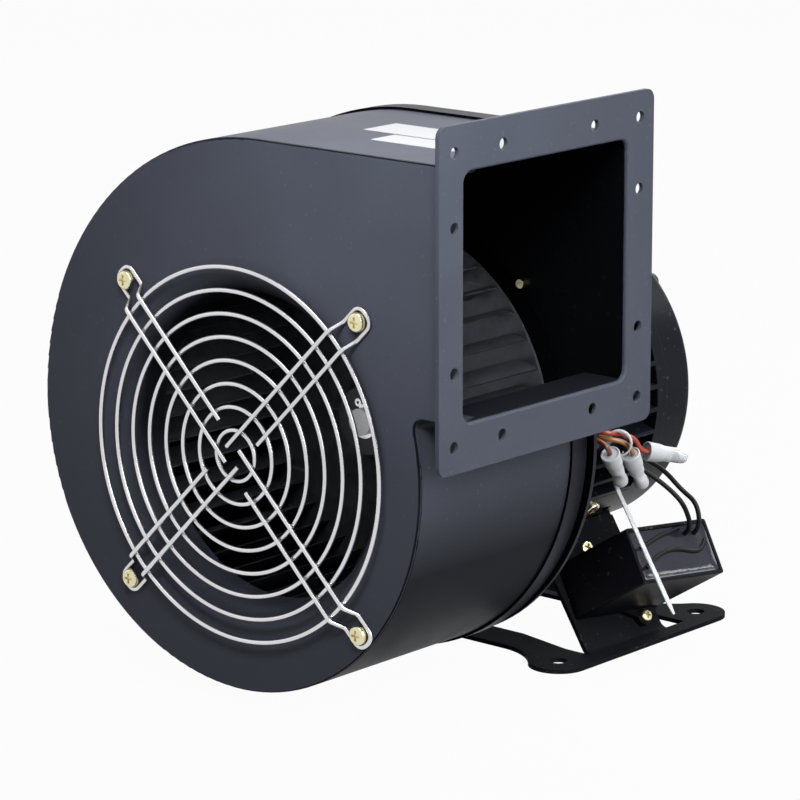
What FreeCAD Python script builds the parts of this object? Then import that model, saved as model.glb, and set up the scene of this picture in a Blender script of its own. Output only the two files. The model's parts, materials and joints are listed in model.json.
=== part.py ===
import FreeCAD, Part
import math
import os

# Centrifugal fan with a forward-curved drum impeller. A sheet steel scroll carries a drawn inlet mouth,
# a wire guard and a square outlet flange. A finned motor sits behind it on a pressed steel foot.
# Millimetres. X points out of the outlet, Y runs from the inlet to the motor, Z is up.
# The origin lies on the floor in the middle of the four foot holes, and the shaft runs above it along Y.

Vec = FreeCAD.Vector
os.makedirs("parts", exist_ok=True)

# Impeller
blade_outer_radius = 84.0
blade_depth = 15.0
blade_count = 40
blade_thickness = 0.7
blade_curve_radius = 17.0
impeller_width = 80.7
rim_band = 1.2
hub_radius = 15.0
hub_length = 23.0
hub_flange_radius = 27.0
hub_flange_thickness = 3.0
hub_rivet_radius = 2.0
set_screw_radius = 2.0
snap_ring_width = 1.6
snap_ring_thickness = 1.2
snap_ear_radius = 1.8
snap_ear_hole = 0.7
snap_ear_angles = (110.0, 160.0)
throat_overlap = 1.0

# Scroll, measured from the shaft
shaft_height = 112.0
casing_front = -185.5
casing_depth = 107.2
sheet = 1.2
volute_top = blade_outer_radius + 50.0
volute_left = blade_outer_radius + 35.0
volute_bottom = blade_outer_radius + 20.4
volute_right = blade_outer_radius + 13.0
volute_shift = 7.5
tongue_radius = 5.0
duct_height = 104.1
duct_reach = 22.4
seam_gap = 0.7
lip_depth = 9.0
front_edge_radius = 0.9
back_lip_depth = 8.5
impeller_passage = blade_outer_radius + 4.0
duct_floor = volute_top - duct_height
outlet_face = volute_right + duct_reach

# Inlet mouth
throat_clearance = 3.0
mouth_curve = 17.0
throat_straight = 2.5
throat_radius = blade_outer_radius - blade_depth - throat_clearance
mouth_radius = throat_radius + mouth_curve
impeller_front = casing_front + mouth_curve + throat_straight - throat_overlap
impeller_back = impeller_front + impeller_width

# Outlet flange
flange_border_y = 14.9
flange_border_z = 18.25
flange_shift_y = 0.8
flange_shift_z = -0.15
flange_thickness = 2.0
flange_corner = 4.5
flange_hole_radius = 2.5
flange_hole_out_y = 5.6
flange_hole_out_z = 7.15
flange_inner_half = 29.2
opening_corner = 5.0
opening_edge_radius = 1.2
flange_middle_y = casing_front + casing_depth / 2 + flange_shift_y
flange_middle_z = duct_floor + duct_height / 2 + flange_shift_z
flange_hole_y = casing_depth / 2 + flange_hole_out_y
flange_hole_z = duct_height / 2 + flange_hole_out_z

# Wire guard
guard_wire = 2.0
guard_standoff = 5.0
guard_rings = 8
guard_innermost_radius = 10.9
guard_outer_radius = mouth_radius - 3.0
guard_pitch = (guard_outer_radius - guard_innermost_radius) / (guard_rings - 1)
spoke_half_gap = 5.0
spoke_screw_radius = guard_outer_radius + 13.2
spoke_step_start = guard_outer_radius + 1.5
spoke_long_end = 3.0
spoke_short_end = 22.0
wire_bend_radius = 2.6
guard_screw_head = 4.1
guard_screw_head_height = 2.4
guard_screw_shank = 2.0
guard_screw_length = 9.0

# Motor
body_radius = 70.0
fin_depth = 7.0
body_wall = 3.0
fin_count = 42
fin_half_width = 1.3
motor_plate_thickness = 2.0
plate_screw_circle = impeller_passage + 4.5
motor_plate_radius = plate_screw_circle + 9.5
plate_screw_shank = 2.0
plate_screw_head = 4.0
plate_screw_head_height = 2.4
plate_screw_inside = 4.5
shield_length = 10.3
body_length = 81.0
cover_length = 18.5
cover_wall = 3.0
vent_count = 16
vent_half_width = 2.2
vent_margin = 6.0
lug_half_width = 6.5
bolt_radius = 2.5
bolt_head = 4.2
bolt_head_height = 2.8
flange_screw_grip = 3.0
earth_screw_head = 3.6
earth_screw_head_height = 2.2
earth_screw_length = 2.1
bearing_radius = 16.0
bearing_width = 10.0
bearing_split = 9.0
running_clearance = 0.05
shaft_radius = 6.0
boss_radius = 22.0
boss_reach = 5.5
tooth_depth = 24.0
air_gap = 0.4
stack_length = 45.0
stack_start = -48.0
slot_count = 18
slot_half_width = 3.2
slot_back = 5.5
slot_mouth = 4.5
winding_overhang = 12.0
winding_back = 4.0
winding_front = 3.0
end_ring_length = 6.0
end_ring_depth = 12.0
fin_root_radius = body_radius - fin_depth
body_bore = fin_root_radius - body_wall
lug_circle = body_radius - 5.5
flange_screw_circle = body_bore - 12.0
stator_bore = body_bore - tooth_depth
winding_inner = stator_bore + winding_front
winding_outer = body_bore - winding_back
slot_start = stator_bore + slot_mouth
slot_depth = tooth_depth - slot_mouth - slot_back
rotor_radius = stator_bore - air_gap
end_ring_outer = rotor_radius - 2.6

# Foot
foot_sheet = 2.0
foot_hole_x = 61.5
foot_hole_y = 50.5
foot_hole_radius = 4.0
ear_radius = 13.5
crossbar_edge = 47.0
crossbar_fillet = 30.0
window_edge = 28.5
window_side = 34.5
window_shoulder = 14.0
leg_lean = 32.0
leg_base_x = 64.2
leg_base_z = 2.4
leg_front = -33.5
leg_back = 21.5
leg_tip_gap = 1.5
leg_bend = 4.0
leg_screw_below_tip = 11.5
leg_screw_radius = 2.5
leg_screw_head = 3.8
leg_screw_head_height = 2.4
leg_screw_length = 10.0
pedestal_bottom = shaft_height - body_radius - 15.0
pedestal_top = shaft_height - body_radius + 22.0

# Capacitor, measured on the outer face of the right leg
case_length = 54.0
case_depth = 45.0
case_wall = 1.6
resin_recess = 1.2
case_tilt = 7.0
case_corner_y = -28.3
case_below_tip = 14.5
case_above_foot = 15.0
ear_thickness = 3.0
ear_tip_radius = 4.0
ear_screw_y = 9.0
ear_screw_below_case = 8.6
ear_root_half = 13.0
ear_screw_head = 3.2
ear_screw_head_height = 2.6

# Leads and what is on them
lead_radius = 1.1
cap_skirt_radius = 4.4
cap_barrel_radius = 3.5
cap_skirt_length = 8.5
cap_length = 21.0
cap_wire_offset = 1.6
grommet_y = -39.0
grommet_below_shaft = 8.2
grommet_radius = 6.4
grommet_stand = 2.5
tie_y = -33.5
tie_bend_side = 8.0
tie_bend_drop = 23.9
tie_tail_out = 34.3
tie_tail_side = 1.5
tie_tail_drop = 52.5
tie_radius = 4.9
tie_width = 2.4
tie_thickness = 1.0

# Labels
label_thickness = 0.25
far_label_y = -138.5
far_label_width = 20.5
far_label_length = 91.0
near_label_y = -155.5
near_label_width = 15.0
near_label_length = 72.0
label_end_gap = 0.5

casing_back = casing_front + casing_depth
shield_front = casing_back + motor_plate_thickness
body_front = shield_front + shield_length
body_back = body_front + body_length
cover_back = body_back + cover_length
shaft_front = impeller_back - hub_length - 3.7
lean = math.radians(leg_lean)

# A leg ends a small gap outside the body, which sets its length from the shaft's height.
leg_rise = leg_base_z - shaft_height
leg_down_body = leg_base_x * math.sin(lean) - leg_rise * math.cos(lean)
leg_foot_square = leg_base_x ** 2 + leg_rise ** 2
leg_length = leg_down_body - math.sqrt((body_radius + leg_tip_gap) ** 2 - leg_foot_square + leg_down_body ** 2)
leg_screw_height = leg_length - leg_screw_below_tip
case_corner_up = leg_length - case_below_tip
case_height = case_corner_up - case_above_foot
ear_screw_up = case_above_foot - ear_screw_below_case


def axis_cylinder(radius, y_from, y_to, x=0.0, z=shaft_height):
    return Part.makeCylinder(radius, y_to - y_from, Vec(x, y_from, z), Vec(0, 1, 0))


def axis_ring(outer, inner, y_from, y_to):
    return axis_cylinder(outer, y_from, y_to).cut(axis_cylinder(inner, y_from - 1, y_to + 1))


def block(x_from, x_to, y_from, y_to, z_from, z_to):
    return Part.makeBox(x_to - x_from, y_to - y_from, z_to - z_from, Vec(x_from, y_from, z_from))


def around_shaft(shape, degrees):
    turned = shape.copy()
    turned.rotate(Vec(0, 0, shaft_height), Vec(0, 1, 0), -degrees)
    return turned


def polar(radius, degrees, y=0.0):
    turn = math.radians(degrees)
    return Vec(radius * math.cos(turn), y, shaft_height + radius * math.sin(turn))


def line(start, end):
    return Part.LineSegment(start, end).toShape()


def arc(start, middle, end):
    return Part.Arc(start, middle, end).toShape()


def closed_face(points):
    return Part.Face(Part.makePolygon(points + [points[0]]))


def save(name, shape):
    shape.exportStep(os.path.join("parts", name + ".step"))
    print(name, round(shape.Volume, 1), len(shape.Solids), shape.isValid())


# The scroll's outline is four arcs, each centred a step away from the last, and a straight duct.
def scroll_prism(inset, outlet_x, y_from, y_to):
    arc_1 = volute_shift + volute_left
    high = volute_top - arc_1
    arc_2 = high + volute_bottom
    middle_2 = arc_2 - volute_left
    arc_3 = volute_right - middle_2
    low = arc_3 - volute_bottom
    floor = duct_floor + inset

    def on(centre_x, centre_z, radius, degrees):
        turn = math.radians(degrees)
        x = centre_x + (radius - inset) * math.cos(turn)
        z = centre_z + (radius - inset) * math.sin(turn)
        return Vec(x, y_from, shaft_height + z)

    tongue_turn = math.degrees(math.asin((floor - low) / (volute_right - inset)))
    top_start = on(volute_shift, high, arc_1, 90)
    left = on(volute_shift, high, arc_1, 180)
    bottom = on(middle_2, high, arc_2, 270)
    right = on(middle_2, low, arc_3, 360)
    tongue = on(0, low, volute_right, tongue_turn)
    top_end = Vec(outlet_x, y_from, top_start.z)
    floor_end = Vec(outlet_x, y_from, tongue.z)
    edges = [
        line(top_end, top_start),
        arc(top_start, on(volute_shift, high, arc_1, 135), left),
        arc(left, on(middle_2, high, arc_2, 225), bottom),
        arc(bottom, on(middle_2, low, arc_3, 315), right),
        arc(right, on(0, low, volute_right, tongue_turn / 2), tongue),
        line(tongue, floor_end),
        line(floor_end, top_end),
    ]
    prism = Part.Face(Part.Wire(edges)).extrude(Vec(0, y_to - y_from, 0))
    corner = [e for e in prism.Edges if e.BoundBox.YLength > 0.5 * (y_to - y_from)
              and (e.CenterOfMass - Vec(tongue.x, e.CenterOfMass.y, tongue.z)).Length < 0.1]
    return prism.makeFillet(tongue_radius + inset, corner)


def scroll_shell(outer_inset, inner_inset, outlet_x, y_from, y_to):
    outer = scroll_prism(outer_inset, outlet_x, y_from, y_to)
    inner = scroll_prism(inner_inset, outlet_x + 5, y_from - 1, y_to + 1)
    return outer.cut(inner)


def duct_end():
    return outlet_face - flange_thickness


def guard_screw_places():
    return [polar(spoke_screw_radius, 45 + 90 * n) for n in range(4)]


# One sheet, blanked to the scroll's outline, with the inlet mouth drawn into it.
def inlet_plate():
    face_back = casing_front + sheet
    plate = scroll_prism(0, duct_end(), casing_front, face_back)
    rim = [e for e in plate.Edges if abs(e.BoundBox.YMax - casing_front) < 0.01
           and e.BoundBox.XMin < duct_end() - 0.01]
    plate = plate.makeFillet(front_edge_radius, rim)
    lip = scroll_shell(sheet, 2 * sheet, duct_end(), face_back, face_back + lip_depth)
    curve = mouth_radius - throat_radius
    centre = Vec(mouth_radius, casing_front + curve, 0)
    slant = math.sqrt(0.5)
    outer_mid = Vec(centre.x - curve * slant, centre.y - curve * slant, 0)
    inner = curve - sheet
    inner_mid = Vec(centre.x - inner * slant, centre.y - inner * slant, 0)
    throat_end = centre.y + throat_straight
    profile = Part.Wire([
        arc(Vec(mouth_radius, casing_front, 0), outer_mid, Vec(throat_radius, centre.y, 0)),
        line(Vec(throat_radius, centre.y, 0), Vec(throat_radius, throat_end, 0)),
        line(Vec(throat_radius, throat_end, 0), Vec(throat_radius + sheet, throat_end, 0)),
        line(Vec(throat_radius + sheet, throat_end, 0), Vec(throat_radius + sheet, centre.y, 0)),
        arc(Vec(throat_radius + sheet, centre.y, 0), inner_mid, Vec(mouth_radius, face_back, 0)),
        line(Vec(mouth_radius, face_back, 0), Vec(mouth_radius, casing_front, 0)),
    ])
    mouth = Part.Face(profile).revolve(Vec(0, 0, 0), Vec(0, 1, 0), 360)
    mouth.translate(Vec(0, 0, shaft_height))
    plate = plate.cut(axis_cylinder(mouth_radius, casing_front - 1, face_back + 1))
    plate = plate.fuse([mouth, lip]).removeSplitter()
    for place in guard_screw_places():
        hole = axis_cylinder(guard_screw_shank, casing_front - 1, face_back + 1, place.x, place.z)
        plate = plate.cut(hole)
    return plate


def scroll_wrapper():
    return scroll_shell(0, sheet, duct_end(), casing_front + sheet + seam_gap, casing_back - sheet)


# The back plate folds forward over the wrapper and has the passage that the impeller goes in by.
def back_plate():
    plate = scroll_prism(-sheet, duct_end(), casing_back - sheet, casing_back)
    lip = scroll_shell(-sheet, 0, duct_end(), casing_back - sheet - back_lip_depth, casing_back - sheet)
    plate = plate.fuse(lip).removeSplitter()
    plate = plate.cut(axis_cylinder(impeller_passage, casing_back - 5, casing_back + 5))
    for place in plate_screw_places():
        plate = plate.cut(axis_cylinder(plate_screw_shank, casing_back - 5, casing_back + 5, place.x, place.z))
    return plate


def flange_hole_places():
    near = flange_inner_half
    across = [(y, z) for y in (-flange_hole_y, flange_hole_y) for z in (-near, near)]
    level = [(y, z) for y in (-near, near) for z in (-flange_hole_z, flange_hole_z)]
    corners = [(y, z) for y in (-flange_hole_y, flange_hole_y) for z in (-flange_hole_z, flange_hole_z)]
    return corners + level + across


def rounded_plate(width, height, corner, x_from, x_to):
    plate = block(x_from, x_to, -width / 2, width / 2, -height / 2, height / 2)
    along = [e for e in plate.Edges if e.BoundBox.XLength > (x_to - x_from) / 2]
    return plate.makeFillet(corner, along)


def outlet_flange():
    width = casing_depth + 2 * flange_border_y
    height = duct_height + 2 * flange_border_z
    plate = rounded_plate(width, height, flange_corner, duct_end(), outlet_face)
    plate.translate(Vec(0, flange_middle_y, shaft_height + flange_middle_z))
    y_low = casing_front + sheet
    y_high = casing_back - sheet
    z_low = shaft_height + duct_floor + sheet
    z_high = shaft_height + volute_top - sheet
    opening = rounded_plate(y_high - y_low, z_high - z_low, opening_corner, duct_end() - 1, outlet_face + 1)
    opening.translate(Vec(0, (y_low + y_high) / 2, (z_low + z_high) / 2))
    plate = plate.cut(opening)
    edge = [e for e in plate.Edges if e.BoundBox.XMin > outlet_face - 0.01
            and e.BoundBox.YMin > y_low - 1 and e.BoundBox.YMax < y_high + 1
            and e.BoundBox.ZMin > z_low - 1 and e.BoundBox.ZMax < z_high + 1]
    plate = plate.makeFillet(opening_edge_radius, edge)
    for y, z in flange_hole_places():
        start = Vec(duct_end() - 1, flange_middle_y + y, shaft_height + flange_middle_z + z)
        plate = plate.cut(Part.makeCylinder(flange_hole_radius, flange_thickness + 2, start, Vec(1, 0, 0)))
    return plate


def guard_plane():
    return casing_front - guard_standoff


def guard_ring_set():
    rings = []
    for n in range(guard_rings):
        radius = guard_outer_radius - guard_pitch * (guard_rings - 1 - n)
        rings.append(Part.makeTorus(radius, guard_wire / 2, Vec(0, guard_plane(), shaft_height), Vec(0, 1, 0)))
    return Part.makeCompound(rings)


# A path of straight runs joined by arcs that are tangent to them.
def rounded_path(points, radii):
    edges = []
    last = points[0]
    for before, corner, after, radius in zip(points, points[1:], points[2:], radii):
        back = (before - corner).normalize()
        ahead = (after - corner).normalize()
        half = back.getAngle(ahead) / 2
        reach = radius / math.tan(half)
        start = corner + back * reach
        end = corner + ahead * reach
        centre = corner + (back + ahead).normalize() * (radius / math.sin(half))
        middle = centre + (corner - centre).normalize() * radius
        edges += [line(last, start), arc(start, middle, end)]
        last = end
    edges.append(line(last, points[-1]))
    return edges


def wire_tube(edges, start, direction, radius):
    ring = Part.Wire(Part.makeCircle(radius, start, direction))
    return Part.Wire(edges).makePipeShell([ring], True, False, 2)


# A hairpin of wire lies on the rings, steps back to the plate and loops round its screw.
def guard_hairpin(turn, long_side):
    front = guard_plane() - guard_wire
    on_plate = casing_front - guard_wire / 2
    out = spoke_screw_radius
    step_end = spoke_step_start + guard_standoff

    def spot(along, across, y):
        point = polar(along, turn, y)
        side = polar(across, turn + 90) - Vec(0, 0, shaft_height)
        return point + side

    near_end = spoke_long_end if long_side > 0 else spoke_short_end
    far_end = spoke_short_end if long_side > 0 else spoke_long_end
    gap = spoke_half_gap
    first = [spot(near_end, gap, front), spot(spoke_step_start, gap, front),
             spot(step_end, gap, on_plate), spot(out, gap, on_plate)]
    second = [spot(out, -gap, on_plate), spot(step_end, -gap, on_plate),
              spot(spoke_step_start, -gap, front), spot(far_end, -gap, front)]
    bends = [wire_bend_radius] * 2
    edges = rounded_path(first, bends)
    edges.append(arc(first[-1], spot(out + gap, 0, on_plate), second[0]))
    edges += rounded_path(second, bends)
    return wire_tube(edges, first[0], first[1] - first[0], guard_wire / 2)


def guard_spoke_set():
    sides = {45: 1, 135: -1, 225: -1, 315: 1}
    return Part.makeCompound([guard_hairpin(turn, side) for turn, side in sides.items()])


def cross_recess(radius, depth):
    bar = block(-radius, radius, -1, depth, -radius / 4, radius / 4)
    return bar.fuse(block(-radius / 4, radius / 4, -1, depth, -radius, radius))


# A pan head screw along +Y, its head's underside at y = 0, with a cross recess.
def pan_screw(head_radius, head_height, shank_radius, length):
    head = Part.makeCylinder(head_radius, head_height, Vec(0, -head_height, 0), Vec(0, 1, 0))
    rim = [e for e in head.Edges if abs(e.BoundBox.YMax + head_height) < 0.01 and e.BoundBox.XLength > 1]
    head = head.makeFillet(head_height * 0.55, rim)
    recess = cross_recess(head_radius * 0.55, head_height * 0.5)
    recess.translate(Vec(0, -head_height, 0))
    shank = Part.makeCylinder(shank_radius, length, Vec(0, 0, 0), Vec(0, 1, 0))
    return head.cut(recess).fuse(shank).removeSplitter()


def placed(shape, position, direction):
    moved = shape.copy()
    moved.Placement = FreeCAD.Placement(position, FreeCAD.Rotation(Vec(0, 1, 0), direction))
    return moved


def guard_screw_set():
    head_seat = casing_front - guard_wire
    screw = pan_screw(guard_screw_head, guard_screw_head_height, guard_screw_shank, guard_screw_length)
    places = guard_screw_places()
    return Part.makeCompound([placed(screw, Vec(p.x, head_seat, p.z), Vec(0, 1, 0)) for p in places])


# The places of the two labels on top of the duct, left bare. They end at the flange's shell.
def bare_labels():
    right = duct_end() - label_end_gap
    top = shaft_height + volute_top
    far = block(right - far_label_length, right, far_label_y, far_label_y + far_label_width,
                top, top + label_thickness)
    near = block(right - near_label_length, right, near_label_y, near_label_y + near_label_width,
                 top, top + label_thickness)
    return far.fuse(near)


# A forward-curved blade: one arc, radial at the inner edge and leaning into the turn at the tip.
def impeller_blade():
    reach = math.asin((blade_depth - 0.6) / blade_curve_radius)
    centre = Vec(blade_outer_radius - blade_depth, impeller_front, -blade_curve_radius)

    def on(radius, turn):
        return centre + Vec(radius * math.sin(turn), 0, radius * math.cos(turn))

    outer = blade_curve_radius + blade_thickness / 2
    inner = blade_curve_radius - blade_thickness / 2
    face = Part.Face(Part.Wire([
        arc(on(outer, 0), on(outer, reach / 2), on(outer, reach)),
        line(on(outer, reach), on(inner, reach)),
        arc(on(inner, reach), on(inner, reach / 2), on(inner, 0)),
        line(on(inner, 0), on(outer, 0)),
    ]))
    blade = face.extrude(Vec(0, impeller_back - rim_band - impeller_front, 0))
    blade.translate(Vec(0, 0, shaft_height))
    return blade


def impeller_blades():
    blade = impeller_blade()
    blade.translate(Vec(0, rim_band, 0))
    pitch = 360.0 / blade_count
    reach = blade_outer_radius + rim_band + 5
    cut_back = block(-reach, reach, impeller_back - rim_band, impeller_back + 9,
                     shaft_height - reach, shaft_height + reach)
    blade = blade.cut(cut_back)
    return Part.makeCompound([around_shaft(blade, pitch * n) for n in range(blade_count)])


def impeller_front_ring():
    flat = axis_ring(blade_outer_radius + 1, blade_outer_radius - blade_depth, impeller_front, impeller_front + rim_band)
    band = axis_ring(blade_outer_radius + 2.2, blade_outer_radius + 1, impeller_front, impeller_front + 6)
    return flat.fuse(band).removeSplitter()


def rivet_places():
    return [polar((hub_radius + hub_flange_radius) / 2, 60 * n) for n in range(6)]


def impeller_back_disc():
    disc = axis_cylinder(blade_outer_radius + 1, impeller_back - rim_band, impeller_back)
    disc = disc.cut(axis_cylinder(hub_radius, impeller_back - 5, impeller_back + 5))
    for place in rivet_places():
        disc = disc.cut(axis_cylinder(hub_rivet_radius, impeller_back - 5, impeller_back + 5, place.x, place.z))
    return disc


def set_screw_y():
    return impeller_back - hub_length * 0.7


def impeller_hub():
    front = impeller_back - hub_length
    seat = impeller_back - rim_band
    hub = axis_cylinder(hub_radius, front, impeller_back)
    hub = hub.fuse(axis_cylinder(hub_flange_radius, seat - hub_flange_thickness, seat))
    hub = hub.cut(axis_cylinder(shaft_radius, front - 1, impeller_back + 1))
    for place in rivet_places():
        hub = hub.cut(axis_cylinder(hub_rivet_radius, seat - 9, seat + 9, place.x, place.z))
    start = Vec(0, set_screw_y(), shaft_height)
    hub = hub.cut(Part.makeCylinder(set_screw_radius, hub_radius + 1, start, Vec(0, 0, 1)))
    return hub.removeSplitter()


def hub_rivets():
    front = impeller_back - rim_band - hub_flange_thickness
    rivets = []
    for place in rivet_places():
        shank = axis_cylinder(hub_rivet_radius, front, impeller_back, place.x, place.z)
        for end in (front, impeller_back):
            head = Part.makeSphere(hub_rivet_radius * 1.5, Vec(place.x, end, place.z))
            keep = axis_cylinder(hub_rivet_radius * 2, end - 1.5, end, place.x, place.z)
            if end == impeller_back:
                keep = axis_cylinder(hub_rivet_radius * 2, end, end + 1.5, place.x, place.z)
            shank = shank.fuse(head.common(keep))
        rivets.append(shank.removeSplitter())
    return Part.makeCompound(rivets)


def hub_set_screw():
    start = Vec(0, set_screw_y(), shaft_height + shaft_radius)
    screw = Part.makeCylinder(set_screw_radius, hub_radius - shaft_radius - 1, start, Vec(0, 0, 1))
    socket_start = start + Vec(0, 0, hub_radius - shaft_radius - 3)
    return screw.cut(Part.makeCylinder(set_screw_radius / 2, 5, socket_start, Vec(0, 0, 1)))


# A snap ring holds the hub on the shaft. It is open on one side and has an ear with a hole at each end.
def shaft_snap_ring():
    hub_front = impeller_back - hub_length
    outer = shaft_radius + snap_ring_width
    ring = axis_ring(outer, shaft_radius, hub_front - snap_ring_thickness, hub_front)
    middle = (snap_ear_angles[0] + snap_ear_angles[1]) / 2.0
    first = polar(3 * outer, snap_ear_angles[0])
    last = polar(3 * outer, snap_ear_angles[1])
    far = polar(3 * outer, middle)
    gap = closed_face([Vec(0, 0, shaft_height), first, far, last]).extrude(Vec(0, -2 * snap_ring_thickness, 0))
    gap.translate(Vec(0, hub_front, 0))
    ring = ring.cut(gap)
    for angle in snap_ear_angles:
        place = polar(outer + snap_ear_radius / 2, angle)
        ear = axis_cylinder(snap_ear_radius, hub_front - snap_ring_thickness, hub_front, place.x, place.z)
        ring = ring.fuse(ear.cut(axis_cylinder(shaft_radius, hub_front - 2, hub_front + 1)))
        ring = ring.cut(axis_cylinder(snap_ear_hole, hub_front - 2, hub_front + 1, place.x, place.z))
    return ring.removeSplitter()


def plate_screw_places():
    return [polar(plate_screw_circle, 45 + 90 * n) for n in range(4)]


def shield_screw_places():
    return [polar(flange_screw_circle, 90 * n) for n in range(4)]


def motor_plate():
    plate = axis_ring(motor_plate_radius, boss_radius, casing_back, shield_front)
    for place in plate_screw_places():
        plate = plate.cut(axis_cylinder(plate_screw_shank, casing_back - 1, shield_front + 1, place.x, place.z))
    for place in shield_screw_places():
        plate = plate.cut(axis_cylinder(bolt_radius, casing_back - 1, shield_front + 1, place.x, place.z))
    return plate


def motor_plate_screws():
    length = motor_plate_thickness + sheet + plate_screw_inside
    screw = pan_screw(plate_screw_head, plate_screw_head_height, plate_screw_shank, length)
    places = plate_screw_places()
    return Part.makeCompound([placed(screw, Vec(p.x, shield_front, p.z), Vec(0, -1, 0)) for p in places])


def lug_places():
    return [polar(lug_circle, 45 + 90 * n) for n in range(4)]


def front_shield():
    shield = axis_cylinder(body_radius, shield_front, body_front)
    shield = shield.fuse(axis_cylinder(boss_radius, casing_back - boss_reach, shield_front))
    seat = casing_back - boss_reach + 2
    shield = shield.cut(axis_cylinder(bearing_radius, seat, body_front + 1))
    shield = shield.cut(axis_cylinder(shaft_radius + 1, casing_back - boss_reach - 1, seat + 1))
    shield = shield.cut(axis_ring(body_bore, boss_radius, shield_front + 4, body_front + 1))
    for place in lug_places():
        shield = shield.cut(axis_cylinder(bolt_radius, shield_front + 4, body_front + 1, place.x, place.z))
    for place in shield_screw_places():
        shield = shield.cut(axis_cylinder(bolt_radius, shield_front - 1, shield_front + 3, place.x, place.z))
    return shield.removeSplitter()


def shield_screws():
    screw = pan_screw(bolt_head, bolt_head_height, bolt_radius, motor_plate_thickness + flange_screw_grip)
    places = shield_screw_places()
    return Part.makeCompound([placed(screw, Vec(p.x, casing_back, p.z), Vec(0, 1, 0)) for p in places])


def fin_outline():
    points = []
    for n in range(fin_count):
        middle = 360.0 / fin_count * (n + 0.5)
        tip = math.degrees(fin_half_width * 0.75 / body_radius)
        root = math.degrees(fin_half_width * 1.25 / fin_root_radius)
        for radius, side in ((fin_root_radius, -root), (body_radius, -tip), (body_radius, tip),
                             (fin_root_radius, root)):
            points.append(polar(radius, middle + side, body_front))
    return closed_face(points)


def leg_point(up, out):
    x = leg_base_x - up * math.sin(lean) + out * math.cos(lean)
    z = leg_base_z + up * math.cos(lean) + out * math.sin(lean)
    return x, z


def leg_inner_x(z):
    foot_x, foot_z = leg_point(0, -foot_sheet)
    return foot_x - (z - foot_z) * math.tan(lean)


# The cast body: axial fins, four bolt lugs, two plain collars and the pedestal between the foot's legs.
def motor_body():
    body = fin_outline().extrude(Vec(0, body_length, 0))
    collars = [axis_cylinder(body_radius - 1.5, body_front, body_front + 4),
               axis_cylinder(body_radius, body_back - 7, body_back)]
    lugs = []
    for n in range(4):
        lug = block(body_bore - 4, body_radius, body_front, body_back, -lug_half_width, lug_half_width)
        lug.translate(Vec(0, 0, shaft_height))
        lugs.append(around_shaft(lug, 45 + 90 * n))
    low = leg_inner_x(pedestal_bottom)
    high = leg_inner_x(pedestal_top)
    pedestal = closed_face([Vec(-low, leg_front, pedestal_bottom), Vec(low, leg_front, pedestal_bottom),
                            Vec(high, leg_front, pedestal_top), Vec(-high, leg_front, pedestal_top)])
    pedestal = pedestal.extrude(Vec(0, body_back - leg_front, 0))
    body = body.fuse(collars + lugs + [pedestal])
    body = body.common(axis_cylinder(body_radius, body_front, body_back).fuse(pedestal))
    body = body.cut(axis_cylinder(body_bore, body_front - 1, body_back + 1))
    for place in lug_places():
        body = body.cut(axis_cylinder(bolt_radius, body_front - 1, body_back + 1, place.x, place.z))
    for side in (1, -1):
        body = body.cut(leg_screw_hole(side))
    body = body.cut(earth_screw_hole())
    body = body.cut(grommet_hole())
    return body.removeSplitter()


def leg_screw_hole(side):
    x, z = leg_point(leg_screw_height, 3)
    middle = (leg_front + leg_back) / 2
    inwards = Vec(-side * math.cos(lean), 0, -math.sin(lean))
    return Part.makeCylinder(leg_screw_radius, 14, Vec(side * x, middle, z), inwards)


def earth_screw_place():
    return polar(body_radius, -45, body_back - 28)


def earth_screw_hole():
    place = earth_screw_place()
    inwards = (Vec(0, place.y, shaft_height) - place).normalize()
    return Part.makeCylinder(plate_screw_shank, 3.2, place - inwards, inwards)


def earth_screw():
    place = earth_screw_place()
    inwards = (Vec(0, place.y, shaft_height) - place).normalize()
    return placed(pan_screw(earth_screw_head, earth_screw_head_height, plate_screw_shank, earth_screw_length), place, inwards)


def grommet_hole():
    start = Vec(body_bore - 5, grommet_y, shaft_height - grommet_below_shaft)
    return Part.makeCylinder(grommet_radius, 30, start, Vec(1, 0, 0))


def lead_grommet():
    start = Vec(body_bore + 0.5, grommet_y, shaft_height - grommet_below_shaft)
    body = Part.makeCylinder(grommet_radius, body_radius + grommet_stand - start.x, start, Vec(1, 0, 0))
    rim = [e for e in body.Edges if e.BoundBox.XMin > body_radius and e.BoundBox.ZLength > 1]
    return body.makeFillet(1.5, rim)


# The rear cover has a plain band, a rounded edge, radial vents and the rear bearing's boss.
def rear_cover():
    cover = axis_cylinder(body_radius, body_back, cover_back)
    rim = [e for e in cover.Edges if abs(e.BoundBox.YMin - cover_back) < 0.01 and e.BoundBox.XLength > 1]
    cover = cover.makeFillet(4.0, rim)
    hollow = axis_ring(body_radius - cover_wall - 1, boss_radius - 2, body_back - 1, cover_back - cover_wall)
    cover = cover.cut(hollow)
    cover = cover.cut(axis_cylinder(bearing_radius, body_back - 1, cover_back - cover_wall))
    for place in lug_places():
        post = axis_cylinder(bolt_head + 1, body_back, cover_back - cover_wall + 0.5, place.x, place.z)
        cover = cover.fuse(post.common(axis_cylinder(body_radius - 0.5, body_back, cover_back)))
        cover = cover.cut(axis_cylinder(bolt_radius, body_back - 1, cover_back + 1, place.x, place.z))
    for n in range(vent_count):
        slot = block(boss_radius + vent_margin, lug_circle - vent_margin - bolt_head, cover_back - cover_wall - 1,
                     cover_back + 1, -vent_half_width, vent_half_width)
        slot.translate(Vec(0, 0, shaft_height))
        cover = cover.cut(around_shaft(slot, 360.0 / vent_count * n))
    return cover.removeSplitter()


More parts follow.
